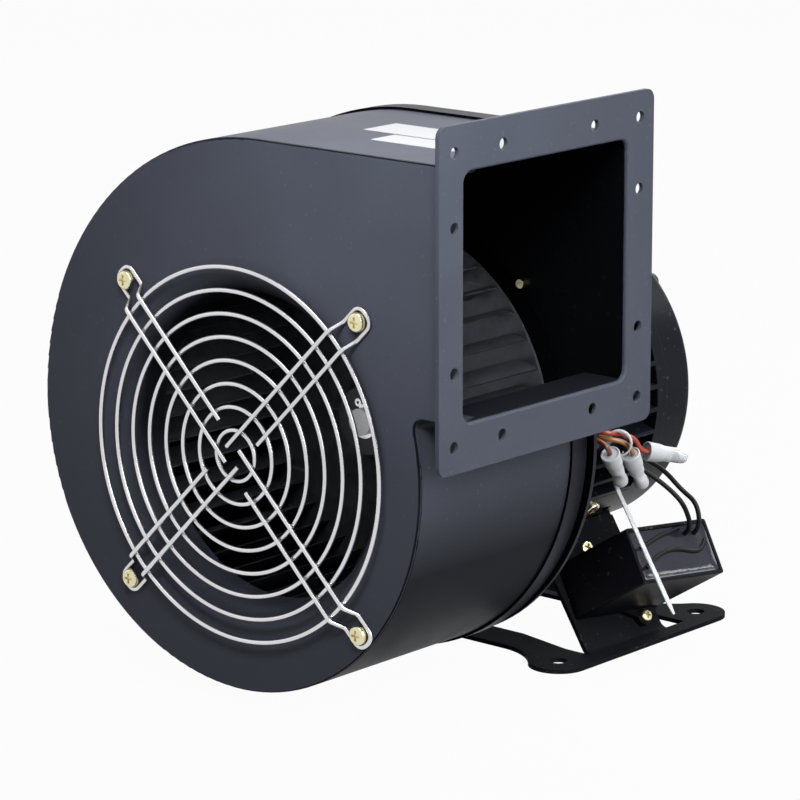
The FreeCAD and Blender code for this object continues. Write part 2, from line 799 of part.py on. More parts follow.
def cover_bolts():
    length = cover_back - shield_front - 5
    bolt = pan_screw(bolt_head, bolt_head_height, bolt_radius, length)
    return Part.makeCompound([placed(bolt, Vec(p.x, cover_back, p.z), Vec(0, -1, 0)) for p in lug_places()])


def bearing_spans():
    front = casing_back - boss_reach + 2
    back = cover_back - cover_wall - bearing_width
    return {"front": front, "rear": back}


def bearing_outer(start):
    return axis_ring(bearing_radius, bearing_split + running_clearance, start, start + bearing_width)


def bearing_inner(start):
    return axis_ring(bearing_split, shaft_radius, start, start + bearing_width)


def stator_slot(n, inner, outer, y_from, y_to):
    slot = block(inner, outer, y_from, y_to, -slot_half_width, slot_half_width)
    slot.translate(Vec(0, 0, shaft_height))
    return around_shaft(slot, 360.0 / slot_count * n)


def stator_core():
    core = axis_ring(body_bore, stator_bore, stack_start, stack_start + stack_length)
    slots = [stator_slot(n, slot_start, slot_start + slot_depth, stack_start - 1,
                         stack_start + stack_length + 1) for n in range(slot_count)]
    return core.cut(slots)


def stator_windings():
    end = stack_start + stack_length
    rings = [axis_ring(winding_outer, winding_inner, stack_start - winding_overhang, stack_start),
             axis_ring(winding_outer, winding_inner, end, end + winding_overhang)]
    bars = [stator_slot(n, slot_start, slot_start + slot_depth, stack_start, end)
            for n in range(slot_count)]
    return rings[0].fuse([rings[1]] + bars).removeSplitter()


def rotor_core():
    core = axis_cylinder(rotor_radius, stack_start, stack_start + stack_length)
    return core.cut(axis_cylinder(shaft_radius, stack_start - 1, stack_start + stack_length + 1))


def rotor_end_rings():
    end = stack_start + stack_length
    rings = []
    for y in (stack_start - end_ring_length, end):
        ring = axis_ring(end_ring_outer, end_ring_outer - end_ring_depth, y, y + end_ring_length)
        rings.append(ring)
    return Part.makeCompound(rings)


def motor_shaft():
    back = bearing_spans()["rear"] + bearing_width
    return axis_cylinder(shaft_radius, shaft_front, back)


# The foot's plate: four round ears, crossbars that curve into them, and a window between the legs.
def foot_quarter():
    side = foot_hole_x + ear_radius
    rise = crossbar_fillet + crossbar_edge - foot_hole_y
    run = math.sqrt((crossbar_fillet + ear_radius) ** 2 - rise ** 2)
    centre = Vec(foot_hole_x - run, -crossbar_edge - crossbar_fillet, 0)
    ear = Vec(foot_hole_x, -foot_hole_y, 0)
    touch = ear + (centre - ear).normalize() * ear_radius
    start = Vec(centre.x, -crossbar_edge, 0)
    bisect = ((start - centre).normalize() + (touch - centre).normalize()).normalize()
    edges = [
        line(Vec(0, -crossbar_edge, 0), start),
        arc(start, centre + bisect * crossbar_fillet, touch),
        arc(touch, ear + Vec(0.35, -1, 0).normalize() * ear_radius, Vec(side, -foot_hole_y, 0)),
        line(Vec(side, -foot_hole_y, 0), Vec(side, 0, 0)),
    ]
    return edges


def foot_plate():
    quarter = foot_quarter()
    edges = list(quarter)
    edges += [e.mirror(Vec(0, 0, 0), Vec(1, 0, 0)) for e in quarter]
    edges += [e.mirror(Vec(0, 0, 0), Vec(0, 1, 0)) for e in edges]
    outline = Part.Wire(Part.__sortEdges__(edges))
    plate = Part.Face(outline).extrude(Vec(0, 0, foot_sheet))
    wide = bend_start_x() + 0.1
    mid = crossbar_edge / 2
    low = [Vec(-wide, -window_side, -1), Vec(-wide + window_shoulder, -window_side, -1), Vec(-mid, -window_edge, -1),
           Vec(mid, -window_edge, -1), Vec(wide - window_shoulder, -window_side, -1), Vec(wide, -window_side, -1)]
    high = [Vec(-p.x, -p.y, -1) for p in low]
    window = closed_face(low + high).extrude(Vec(0, 0, foot_sheet + 2))
    plate = plate.cut(window)
    for x in (foot_hole_x, -foot_hole_x):
        for y in (foot_hole_y, -foot_hole_y):
            plate = plate.cut(Part.makeCylinder(foot_hole_radius, foot_sheet + 2, Vec(x, y, -1)))
    return plate


def bend_start_x():
    foot_x, foot_z = leg_point(0, 0)
    reach = foot_x * math.cos(lean) + foot_z * math.sin(lean)
    turn = leg_bend * (1 - math.sin(lean)) - foot_sheet * math.sin(lean)
    return (reach + turn) / math.cos(lean)


# A leg is a tongue of the same sheet, bent up out of the window and leaning in to the pedestal.
def foot_leg(side):
    x = bend_start_x()
    centre = Vec(x, leg_front, foot_sheet + leg_bend)
    turn = math.radians(90 - leg_lean)

    def on(radius, angle):
        return centre + Vec(-radius * math.sin(angle), 0, -radius * math.cos(angle))

    inner = leg_bend
    outer = leg_bend + foot_sheet
    up = Vec(-math.sin(lean), 0, math.cos(lean))
    top_x, top_z = leg_point(leg_length, 0)
    top = Vec(top_x, leg_front, top_z)
    behind = Vec(-math.cos(lean), 0, -math.sin(lean)) * foot_sheet
    overlap = Vec(6, 0, 0)
    profile = Part.Wire([
        line(on(inner, 0) + overlap, on(inner, 0)),
        arc(on(inner, 0), on(inner, turn / 2), on(inner, turn)),
        line(on(inner, turn), top),
        line(top, top + behind),
        line(top + behind, on(outer, turn)),
        arc(on(outer, turn), on(outer, turn / 2), on(outer, 0)),
        line(on(outer, 0), on(outer, 0) + overlap),
        line(on(outer, 0) + overlap, on(inner, 0) + overlap),
    ])
    leg = Part.Face(profile).extrude(Vec(0, leg_back - leg_front, 0))
    screw_x, screw_z = leg_point(leg_screw_height, 3)
    hole_start = Vec(screw_x, (leg_front + leg_back) / 2, screw_z)
    leg = leg.cut(Part.makeCylinder(leg_screw_radius, 9, hole_start, Vec(-math.cos(lean), 0, -math.sin(lean))))
    if side > 0:
        ear_x, ear_z = leg_point(ear_screw_up, 3)
        leg = leg.cut(Part.makeCylinder(leg_screw_radius, 9, Vec(ear_x, ear_screw_y, ear_z),
                                        Vec(-math.cos(lean), 0, -math.sin(lean))))
        return leg
    return leg.mirror(Vec(0, 0, 0), Vec(1, 0, 0))


def foot_bracket():
    return foot_plate().fuse([foot_leg(1), foot_leg(-1)]).removeSplitter()


def leg_screws():
    screws = []
    middle = (leg_front + leg_back) / 2
    for side in (1, -1):
        x, z = leg_point(leg_screw_height, 0)
        inwards = Vec(-side * math.cos(lean), 0, -math.sin(lean))
        screw = pan_screw(leg_screw_head, leg_screw_head_height, leg_screw_radius, leg_screw_length)
        screws.append(placed(screw, Vec(side * x, middle, z), inwards))
    return Part.makeCompound(screws)


# The capacitor's own directions: along its length, up the leg and out from the leg.
def case_directions():
    tilt = math.radians(-case_tilt)
    up = Vec(-math.sin(lean), 0, math.cos(lean))
    out = Vec(math.cos(lean), 0, math.sin(lean))
    along = Vec(0, 1, 0) * math.cos(tilt) + up * math.sin(tilt)
    rise = up * math.cos(tilt) - Vec(0, 1, 0) * math.sin(tilt)
    return along, rise, out


def on_leg(shape):
    along, rise, out = case_directions()
    x, z = leg_point(case_corner_up, 0)
    matrix = FreeCAD.Matrix(along.x, rise.x, out.x, x, along.y, rise.y, out.y, case_corner_y,
                            along.z, rise.z, out.z, z, 0, 0, 0, 1)
    moved = shape.copy()
    moved.Placement = FreeCAD.Placement(matrix)
    return moved


def resin_spot(from_near, from_top):
    along, rise, out = case_directions()
    x, z = leg_point(case_corner_up, 0)
    return Vec(x, case_corner_y, z) + along * from_near - rise * from_top + out * (case_depth - resin_recess)


def ear_screw_spot():
    tilt = math.radians(-case_tilt)
    across = ear_screw_y - case_corner_y
    rise = ear_screw_up - case_corner_up
    return (across * math.cos(tilt) + rise * math.sin(tilt), rise * math.cos(tilt) - across * math.sin(tilt))


def capacitor_case():
    case = block(0, case_length, -case_height, 0, 0, case_depth)
    upright = [e for e in case.Edges if e.BoundBox.ZLength > case_depth / 2]
    case = case.makeFillet(1.2, upright)
    hollow = block(case_wall, case_length - case_wall, case_wall - case_height, -case_wall,
                   case_wall, case_depth + 1)
    spot_x, spot_y = ear_screw_spot()
    root = ear_root_half
    ear = closed_face([Vec(spot_x - root, -case_height + 0.5, 0), Vec(spot_x - ear_tip_radius, spot_y, 0),
                       Vec(spot_x + ear_tip_radius, spot_y, 0), Vec(spot_x + root, -case_height + 0.5, 0)])
    ear = ear.extrude(Vec(0, 0, ear_thickness))
    ear = ear.fuse(Part.makeCylinder(ear_tip_radius, ear_thickness, Vec(spot_x, spot_y, 0)))
    ear = ear.cut(Part.makeCylinder(leg_screw_radius, ear_thickness + 2, Vec(spot_x, spot_y, -1)))
    return on_leg(case.cut(hollow).fuse(ear).removeSplitter())


def capacitor_resin():
    resin = block(case_wall, case_length - case_wall, case_wall - case_height, -case_wall,
                  case_wall, case_depth - resin_recess)
    return on_leg(resin)


def capacitor_screw():
    x, z = leg_point(ear_screw_up, ear_thickness)
    inwards = Vec(-math.cos(lean), 0, -math.sin(lean))
    screw = pan_screw(ear_screw_head, ear_screw_head_height, leg_screw_radius, ear_thickness + foot_sheet + 1)
    return placed(screw, Vec(x, ear_screw_y, z), inwards)


# A place beside the motor body: out from its side, along the shaft, and up from the shaft.
def beside(out, y, up):
    return Vec(body_radius + out, y, shaft_height + up)


# Each cap is a crimped closed-end sleeve: where its open end is, and which way its tip points.
def cap_places():
    return {1: (beside(10.0, -38.9, -15.0), Vec(-0.138, 0.601, -0.787).normalize()),
            2: (beside(10.0, -24.6, -17.7), Vec(-0.071, 0.554, -0.829).normalize()),
            3: (beside(10.4, -13.5, -18.6), Vec(0.368, 0.901, -0.231).normalize())}


def across_cap(number):
    return cap_places()[number][1].cross(Vec(0, 0, 1)).normalize() * cap_wire_offset


def crimp_cap(number):
    start, direction = cap_places()[number]
    skirt = Part.makeCylinder(cap_skirt_radius, cap_skirt_length, Vec(0, 0, 0), Vec(0, 1, 0))
    mouth = [e for e in skirt.Edges if e.BoundBox.XLength > 1 and e.BoundBox.YLength < 0.1]
    skirt = skirt.makeFillet(0.8, mouth)
    barrel = Part.makeCylinder(cap_barrel_radius, cap_length, Vec(0, 0, 0), Vec(0, 1, 0))
    tip = [e for e in barrel.Edges if e.BoundBox.YMin > cap_length - 0.1]
    return placed(skirt.fuse(barrel.makeFillet(1.2, tip)).removeSplitter(), start, direction)


def cord_routes():
    cap_1, axis_1 = cap_places()[1]
    cap_2, axis_2 = cap_places()[2]
    cap_3, axis_3 = cap_places()[3]
    out = case_directions()[2]
    red_end = cap_3 + across_cap(3)
    yellow_end = cap_2 + across_cap(2)
    black_start = cap_3 - across_cap(3)
    second_start = cap_2 - across_cap(2)
    black_end = resin_spot(38.0, 5.5)
    second_end = resin_spot(43.5, 6.0)
    face = grommet_stand
    return {
        "lead_red": [beside(face, -38.8, -6.1), beside(7, -38.8, -6.1), beside(8.6, -30.5, -8.0),
                     beside(9.4, -20.6, -11.4), red_end - axis_3 * 4.0, red_end],
        "lead_yellow": [beside(face, -36.9, -9.2), beside(6.6, -36.9, -9.2), beside(10.6, -32.2, -10.4),
                        yellow_end - axis_2 * 4.8, yellow_end],
        "lead_brown": [beside(face, -41.2, -9.4), beside(6.5, -41.2, -9.4), cap_1 - axis_1 * 4.3, cap_1],
        "capacitor_lead_1": [black_start, black_start - axis_3 * 4.4, beside(3.4, -18.2, -20.0),
                             beside(3.0, -12.6, -26.4), beside(8.2, -3.6, -33.0), beside(14.0, 2.2, -40.0),
                             black_end + out * 3.4 + Vec(0.5, -3.7, 12.2), black_end + out * 5.5, black_end],
        "capacitor_lead_2": [second_start, second_start - axis_2 * 4.7, beside(4.0, -26.5, -12.1),
                             beside(1.8, -20.5, -15.8), beside(1.6, -11.0, -21.5), beside(2.5, -1.5, -26.5),
                             beside(5.0, 7.5, -32.5), beside(10.0, 13.2, -41.5),
                             second_end + out * 3.3 + Vec(-0.9, 1.0, 12.7), second_end + out * 5.5,
                             second_end],
    }


# Each bend's radius comes from the shorter of its two runs, so that the curve fills 0.45 of it each way.
def bend_radii(points):
    radii = []
    for before, corner, after in zip(points, points[1:], points[2:]):
        turn = (corner - before).getAngle(after - corner)
        shorter = min((corner - before).Length, (after - corner).Length)
        radii.append(0.45 * shorter / math.tan(turn / 2))
    return radii


def cord(name, points):
    radii = bend_radii(points)
    edges = rounded_path(points, radii)
    shape = wire_tube(edges, points[0], points[1] - points[0], lead_radius)
    length = sum(e.Length for e in edges)
    print(name, "length", round(length, 2), "radii", [round(r, 1) for r in radii])
    print(name, "points", [(round(p.x, 2), round(p.y, 2), round(p.z, 2)) for p in points])
    print(name, "volume over section x length", round(shape.Volume / (math.pi * lead_radius ** 2 * length), 4))
    save(name, shape)


def strap(start, end):
    run = end - start
    piece = block(-tie_width / 2, tie_width / 2, 0, run.Length, -tie_thickness / 2, tie_thickness / 2)
    long_way = run.normalize()
    side = Vec(0, 1, 0) - long_way * long_way.y
    side.normalize()
    third = side.cross(long_way)
    matrix = FreeCAD.Matrix(side.x, long_way.x, third.x, start.x, side.y, long_way.y, third.y, start.y,
                            side.z, long_way.z, third.z, start.z, 0, 0, 0, 1)
    piece.Placement = FreeCAD.Placement(matrix)
    return piece


# The tie's band round the leads, its head and its long tail.
def cable_tie():
    centre = beside(8.6, tie_y - tie_width / 2, -8.6)
    band = Part.makeCylinder(tie_radius, tie_width, centre, Vec(0, 1, 0))
    band = band.cut(Part.makeCylinder(tie_radius - tie_thickness, tie_width, centre, Vec(0, 1, 0)))
    left = centre.x - tie_radius
    head = block(left - 0.7, left + 1.6, tie_y - 2.2, tie_y + 2.2, centre.z - 3.8, centre.z + 0.6)
    bend = Vec(left - 1.0, tie_y + tie_bend_side, centre.z - tie_bend_drop)
    tail = strap(Vec(left + 0.4, tie_y, centre.z - 2.9), bend)
    tail = tail.fuse(strap(bend, bend + Vec(tie_tail_out, -tie_tail_side, -tie_tail_drop)))
    return band.fuse([head, tail]).removeSplitter()


parts = {
    "inlet_plate": inlet_plate,
    "scroll_wrapper": scroll_wrapper,
    "back_plate": back_plate,
    "outlet_flange": outlet_flange,
    "guard_rings": guard_ring_set,
    "guard_spokes": guard_spoke_set,
    "guard_screws": guard_screw_set,
    "bare_labels": bare_labels,
    "impeller_blades": impeller_blades,
    "impeller_front_ring": impeller_front_ring,
    "impeller_back_disc": impeller_back_disc,
    "impeller_hub": impeller_hub,
    "hub_rivets": hub_rivets,
    "hub_set_screw": hub_set_screw,
    "shaft_snap_ring": shaft_snap_ring,
    "motor_plate": motor_plate,
    "motor_plate_screws": motor_plate_screws,
    "front_shield": front_shield,
    "shield_screws": shield_screws,
    "motor_body": motor_body,
    "lead_grommet": lead_grommet,
    "earth_screw": earth_screw,
    "rear_cover": rear_cover,
    "cover_bolts": cover_bolts,
    "stator_core": stator_core,
    "stator_windings": stator_windings,
    "rotor_core": rotor_core,
    "rotor_end_rings": rotor_end_rings,
    "motor_shaft": motor_shaft,
    "foot_bracket": foot_bracket,
    "leg_screws": leg_screws,
    "capacitor_case": capacitor_case,
    "capacitor_resin": capacitor_resin,
    "capacitor_screw": capacitor_screw,
    "cable_tie": cable_tie,
}

for name, make in parts.items():
    save(name, make())
for end, start in bearing_spans().items():
    save(end + "_bearing_outer", bearing_outer(start))
    save(end + "_bearing_inner", bearing_inner(start))
for number in cap_places():
    save("crimp_cap_" + str(number), crimp_cap(number))
for name, points in cord_routes().items():
    cord(name, points)
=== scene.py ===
import bpy
import json
import math
from mathutils import Euler, Matrix, Vector


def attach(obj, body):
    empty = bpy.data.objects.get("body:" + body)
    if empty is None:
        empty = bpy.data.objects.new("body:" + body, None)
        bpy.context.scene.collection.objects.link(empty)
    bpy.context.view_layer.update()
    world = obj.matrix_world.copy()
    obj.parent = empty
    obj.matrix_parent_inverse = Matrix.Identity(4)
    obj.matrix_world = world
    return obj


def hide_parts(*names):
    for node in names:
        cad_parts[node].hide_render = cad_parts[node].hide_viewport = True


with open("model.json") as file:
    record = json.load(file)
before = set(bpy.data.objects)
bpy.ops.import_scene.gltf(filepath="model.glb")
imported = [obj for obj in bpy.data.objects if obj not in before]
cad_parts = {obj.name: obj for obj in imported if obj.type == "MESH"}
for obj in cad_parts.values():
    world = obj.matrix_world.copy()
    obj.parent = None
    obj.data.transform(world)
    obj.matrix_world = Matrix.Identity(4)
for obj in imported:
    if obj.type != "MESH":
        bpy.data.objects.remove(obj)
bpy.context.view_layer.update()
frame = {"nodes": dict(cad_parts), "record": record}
print("frame loaded")

mm = 0.001

# View and light

cameraSpec = {
    "place": (1.0648, -1.3062, 0.5010),
    "azimuth": 41.111,
    "elevation": 13.335,
    "roll": -0.097,
    "lens": 171.0,
    "sensor": 36.0,
    "clip": (0.05, 50),
}

lampSpecs = {
    "topSoftbox": {"place": (0.25, 0.15, 1.5), "aim": (0, -0.1, 0.15), "size": (1.5, 1.3), "watts": 27.0},
    "rightSoftbox": {"place": (1.28, -0.1, 0.72), "aim": (0.08, -0.1, 0.18), "size": (0.8, 0.9),
                     "watts": 28.5},
    "frontSoftbox": {"place": (0.24, -0.44, 0.46), "aim": (0.07, -0.19, 0.25), "size": (0.22, 0.2),
                     "watts": 0.56, "spread": 50, "mirrored": False},
    "leftFill": {"place": (-1.3, -1.0, 0.7), "aim": (0, -0.15, 0.12), "size": (0.8, 1.0), "watts": 0.6},
    "rearFill": {"place": (-0.4, 1.6, 0.9), "aim": (0, 0, 0.1), "size": (1.2, 1.0), "watts": 14.0},
    "resinGlint": {"place": (0.60, 1.16, 0.86), "aim": (0.08, 0, 0.06), "size": (0.25, 0.25), "watts": 2.0},
}

worldSpec = {"seen": 1.0, "seenColour": (1, 1, 1, 1), "fill": 0.07, "fillColour": (0.94, 0.97, 1, 1)}
floorSpec = {"size": 12.0, "level": -0.0002, "colour": (0.22, 0.22, 0.22, 1), "glow": 0.965,
             "glowColour": (1, 1, 1, 1)}


def addCamera(spec):
    data = bpy.data.cameras.new("photoCamera")
    data.lens = spec["lens"]
    data.sensor_width = spec["sensor"]
    data.clip_start, data.clip_end = spec["clip"]
    camera = bpy.data.objects.new("photoCamera", data)
    tilt = math.radians(90 - spec["elevation"])
    turn = Euler((tilt, 0, math.radians(spec["azimuth"]))).to_matrix()
    roll = Matrix.Rotation(math.radians(spec["roll"]), 3, "Z")
    camera.matrix_world = Matrix.Translation(spec["place"]) @ (turn @ roll).to_4x4()
    bpy.context.scene.collection.objects.link(camera)
    bpy.context.scene.camera = camera


def addLamp(name, spec):
    data = bpy.data.lights.new(name, "AREA")
    data.shape = "RECTANGLE"
    data.size, data.size_y = spec["size"]
    data.energy = spec["watts"]
    data.spread = math.radians(spec.get("spread", 180))
    lamp = bpy.data.objects.new(name, data)
    lamp.visible_glossy = spec.get("mirrored", True)
    aim = Vector(spec["aim"]) - Vector(spec["place"])
    lamp.matrix_world = Matrix.Translation(spec["place"]) @ aim.to_track_quat("-Z", "Y").to_matrix().to_4x4()
    bpy.context.scene.collection.objects.link(lamp)


def feed(tree, made, inputs):
    for label, value in inputs.items():
        if isinstance(value, bpy.types.NodeSocket):
            tree.links.new(value, made.inputs[label])
        else:
            made.inputs[label].default_value = value


def node(tree, kind, inputs, **settings):
    made = tree.nodes.new("ShaderNode" + kind)
    for key, value in settings.items():
        setattr(made, key, value)
    feed(tree, made, inputs)
    return made


def mathNode(tree, operation, first, second, clamp=False):
    return node(tree, "Math", {0: first, 1: second}, operation=operation, use_clamp=clamp).outputs[0]


# One for rays from the camera or from a shiny or clear surface: they see the studio as white.
def seenRays(tree):
    path = node(tree, "LightPath", {}).outputs
    mirrored = mathNode(tree, "MAXIMUM", path["Is Camera Ray"], path["Is Glossy Ray"])
    return mathNode(tree, "MAXIMUM", mirrored, path["Is Transmission Ray"])


def buildWorld(spec):
    world = bpy.data.worlds.new("studio")
    bpy.context.scene.world = world
    world.use_nodes = True
    tree = world.node_tree
    tree.nodes.clear()
    fill = node(tree, "Background", {"Color": spec["fillColour"], "Strength": spec["fill"]})
    white = node(tree, "Background", {"Color": spec["seenColour"], "Strength": spec["seen"]})
    mix = node(tree, "MixShader", {0: seenRays(tree), 1: fill.outputs[0], 2: white.outputs[0]})
    node(tree, "OutputWorld", {"Surface": mix.outputs[0]})


def buildFloor(spec):
    bpy.ops.object.select_all(action="DESELECT")
    bpy.ops.mesh.primitive_plane_add(size=spec["size"], location=(0, 0, spec["level"]))
    floor = bpy.context.object
    floor.name = "studioFloor"
    material = bpy.data.materials.new("floorPaper")
    material.use_nodes = True
    tree = material.node_tree
    tree.nodes.clear()
    share = mathNode(tree, "MULTIPLY", seenRays(tree), spec["glow"])
    paper = node(tree, "BsdfDiffuse", {"Color": spec["colour"]})
    glow = node(tree, "Emission", {"Color": spec["glowColour"]})
    mix = node(tree, "MixShader", {0: share, 1: paper.outputs[0], 2: glow.outputs[0]})
    node(tree, "OutputMaterial", {"Surface": mix.outputs[0]})
    floor.data.materials.append(material)


bpy.context.scene.view_settings.view_transform = "Standard"
addCamera(cameraSpec)
for name, spec in lampSpecs.items():
    addLamp(name, spec)
buildWorld(worldSpec)
buildFloor(floorSpec)
print("camera, lamps and floor set")

# Materials

def newGroup(name, inputs, outputs):
    group = bpy.data.node_groups.new(name, "ShaderNodeTree")
    for label, kind, value in inputs:
        socket = group.interface.new_socket(label, in_out="INPUT", socket_type=kind)
        socket.default_value = value
    for label, kind in outputs:
        group.interface.new_socket(label, in_out="OUTPUT", socket_type=kind)
    return group, group.nodes.new("NodeGroupInput"), group.nodes.new("NodeGroupOutput")


def noise(tree, vector, scale, detail, warp=0.0):
    inputs = {"Vector": vector, "Scale": scale, "Detail": detail, "Distortion": warp}
    return node(tree, "TexNoise", inputs, noise_dimensions="3D").outputs["Fac"]


# Fine grain for bump, slow drift in tone and roughness, sparse dust and scratches.
grainSpec = {
    "perMetre": 1000.0, "grainDetail": 3, "driftDetail": 4, "driftWarp": 0.6, "driftMiddle": 0.5,
    "driftGain": 4.0, "dustScale": 420, "dustDetail": 2, "dustFrom": 0.69, "scratchTurn": (0.3, 0.2, 0.5),
    "scratchScale": (30, 900, 260), "scratchDetail": 2, "scratchFrom": 0.72, "scratchDepth": 0.6,
    "markRough": 0.3,
}


def finishGroup(spec):
    number, colour = "NodeSocketFloat", "NodeSocketColor"
    group, given, out = newGroup("finishGrain", [
        ("Colour", colour, (0.1, 0.1, 0.1, 1)), ("Dust Colour", colour, (0.5, 0.5, 0.48, 1)),
        ("Roughness", number, 0.4), ("Roughness Spread", number, 0.1), ("Tone Spread", number, 0.1),
        ("Grain Size", number, 1.0), ("Drift Size", number, 40.0), ("Dust", number, 0.1),
        ("Scratches", number, 0.0),
    ], [("Colour", colour), ("Roughness", number), ("Height", number)])
    place = node(group, "TexCoord", {}).outputs["Object"]
    grainScale = mathNode(group, "DIVIDE", spec["perMetre"], given.outputs["Grain Size"])
    driftScale = mathNode(group, "DIVIDE", spec["perMetre"], given.outputs["Drift Size"])
    grain = noise(group, place, grainScale, spec["grainDetail"])
    drift = noise(group, place, driftScale, spec["driftDetail"], spec["driftWarp"])
    dust = noise(group, place, spec["dustScale"], spec["dustDetail"])
    stretch = node(group, "Mapping", {"Vector": place, "Rotation": spec["scratchTurn"],
                                      "Scale": spec["scratchScale"]})
    scratch = noise(group, stretch.outputs[0], 1, spec["scratchDetail"])
    drifted = mathNode(group, "SUBTRACT", drift, spec["driftMiddle"])
    tone = mathNode(group, "MULTIPLY", drifted, given.outputs["Tone Spread"])
    level = mathNode(group, "ADD", mathNode(group, "MULTIPLY", tone, spec["driftGain"]), 1.0)
    toned = node(group, "VectorMath", {0: given.outputs["Colour"], "Scale": level}, operation="SCALE")
    specks = mathNode(group, "GREATER_THAN", dust, spec["dustFrom"])
    specks = mathNode(group, "MULTIPLY", specks, given.outputs["Dust"])
    lines = mathNode(group, "GREATER_THAN", scratch, spec["scratchFrom"])
    lines = mathNode(group, "MULTIPLY", lines, given.outputs["Scratches"])
    marks = mathNode(group, "MAXIMUM", specks, lines)
    # A Mix node takes its colours at inputs 6 and 7 and gives their mix at output 2.
    dusted = node(group, "Mix", {"Factor": marks, 6: toned.outputs[0], 7: given.outputs["Dust Colour"]},
                  data_type="RGBA")
    spread = mathNode(group, "MULTIPLY", drifted, given.outputs["Roughness Spread"])
    spread = mathNode(group, "MULTIPLY", spread, spec["driftGain"])
    rough = mathNode(group, "ADD", spread, given.outputs["Roughness"])
    rough = mathNode(group, "ADD", rough, mathNode(group, "MULTIPLY", marks, spec["markRough"]), clamp=True)
    sunk = mathNode(group, "MULTIPLY", lines, spec["scratchDepth"])
    height = mathNode(group, "SUBTRACT", grain, sunk)
    feed(group, out, {"Colour": dusted.outputs[2], "Roughness": rough, "Height": height})
    return group


# Painted shade masks: inner faces of the scroll shell, bell mouth and plates, the duct floor and downward
# faces are painted dark in place of shadow.
paintedShadeSpec = {
    "shaftHeight": 112 * mm, "ductTop": 40 * mm, "floorFacing": 0.9, "underFrom": -0.02, "underFade": 0.36,
    "underShade": 0.90, "bellTop": -184.6 * mm, "bellDepth": 8 * mm, "backFacing": 0.5, "lipGain": 1.4,
    "lipLight": 0.65, "foldReach": 20 * mm, "foldFacing": (-0.93, -0.08), "plateFacing": -0.5,
}


def paintedShadeGroup(spec):
    number = "NodeSocketFloat"
    group, _, out = newGroup("insideMasks", [], [("Wrapper", number), ("Bell", number), ("Plate", number)])
    seen = node(group, "TexCoord", {}).outputs
    spot = node(group, "SeparateXYZ", {0: seen["Object"]}).outputs
    facing = node(group, "SeparateXYZ", {0: seen["Normal"]}).outputs
    sideways = mathNode(group, "MULTIPLY", spot["X"], facing["X"])
    height = mathNode(group, "SUBTRACT", spot["Z"], spec["shaftHeight"])
    upright = mathNode(group, "MULTIPLY", height, facing["Z"])
    outward = mathNode(group, "ADD", sideways, upright)
    # Painted shade on faces that look into the housing and on the duct's inner floor.
    facingIn = mathNode(group, "LESS_THAN", outward, 0.0)
    ductFloorShade = mathNode(group, "GREATER_THAN", facing["Z"], spec["floorFacing"])
    ductFloorShade = mathNode(group, "MULTIPLY", ductFloorShade, mathNode(group, "LESS_THAN", height, spec["ductTop"]))
    # Painted shade beneath: faces that look downward are darkened more the steeper they face down.
    paintedUnderShade = mathNode(group, "SUBTRACT", spec["underFrom"], facing["Z"])
    paintedUnderShade = mathNode(group, "DIVIDE", paintedUnderShade, spec["underFade"], clamp=True)
    paintedUnderShade = mathNode(group, "MULTIPLY", paintedUnderShade, spec["underShade"])
    wrapperShade = mathNode(group, "MAXIMUM", facingIn, mathNode(group, "MAXIMUM", ductFloorShade, paintedUnderShade))
    # Painted shade in the bell mouth: it darkens deeper into the recess and on back-facing faces, less where
    # the lip faces up to the lamps.
    deep = mathNode(group, "SUBTRACT", spot["Y"], spec["bellTop"])
    deep = mathNode(group, "DIVIDE", deep, spec["bellDepth"], clamp=True)
    backwards = mathNode(group, "GREATER_THAN", facing["Y"], spec["backFacing"])
    litLip = mathNode(group, "MULTIPLY", facing["Z"], spec["lipGain"], clamp=True)
    litLip = mathNode(group, "MULTIPLY", litLip, spec["lipLight"])
    recess = mathNode(group, "MULTIPLY", mathNode(group, "MAXIMUM", deep, backwards),
                      mathNode(group, "SUBTRACT", 1.0, litLip))
    # Painted dark line along the front plate's rolled outer edge, standing in for the dark reflection of the
    # bend.
    lowest, highest = spec["foldFacing"]
    paintedFoldLine = mathNode(group, "MULTIPLY", mathNode(group, "GREATER_THAN", facing["Y"], lowest),
                      mathNode(group, "GREATER_THAN", outward, spec["foldReach"]))
    paintedFoldLine = mathNode(group, "MULTIPLY", paintedFoldLine, mathNode(group, "LESS_THAN", facing["Y"], highest))
    feed(group, out, {"Wrapper": wrapperShade, "Bell": mathNode(group, "MAXIMUM", recess, paintedFoldLine),
                      "Plate": mathNode(group, "LESS_THAN", facing["Y"], spec["plateFacing"])})
    return group


insideMasks = paintedShadeGroup(paintedShadeSpec)
finishGrain = finishGroup(grainSpec)
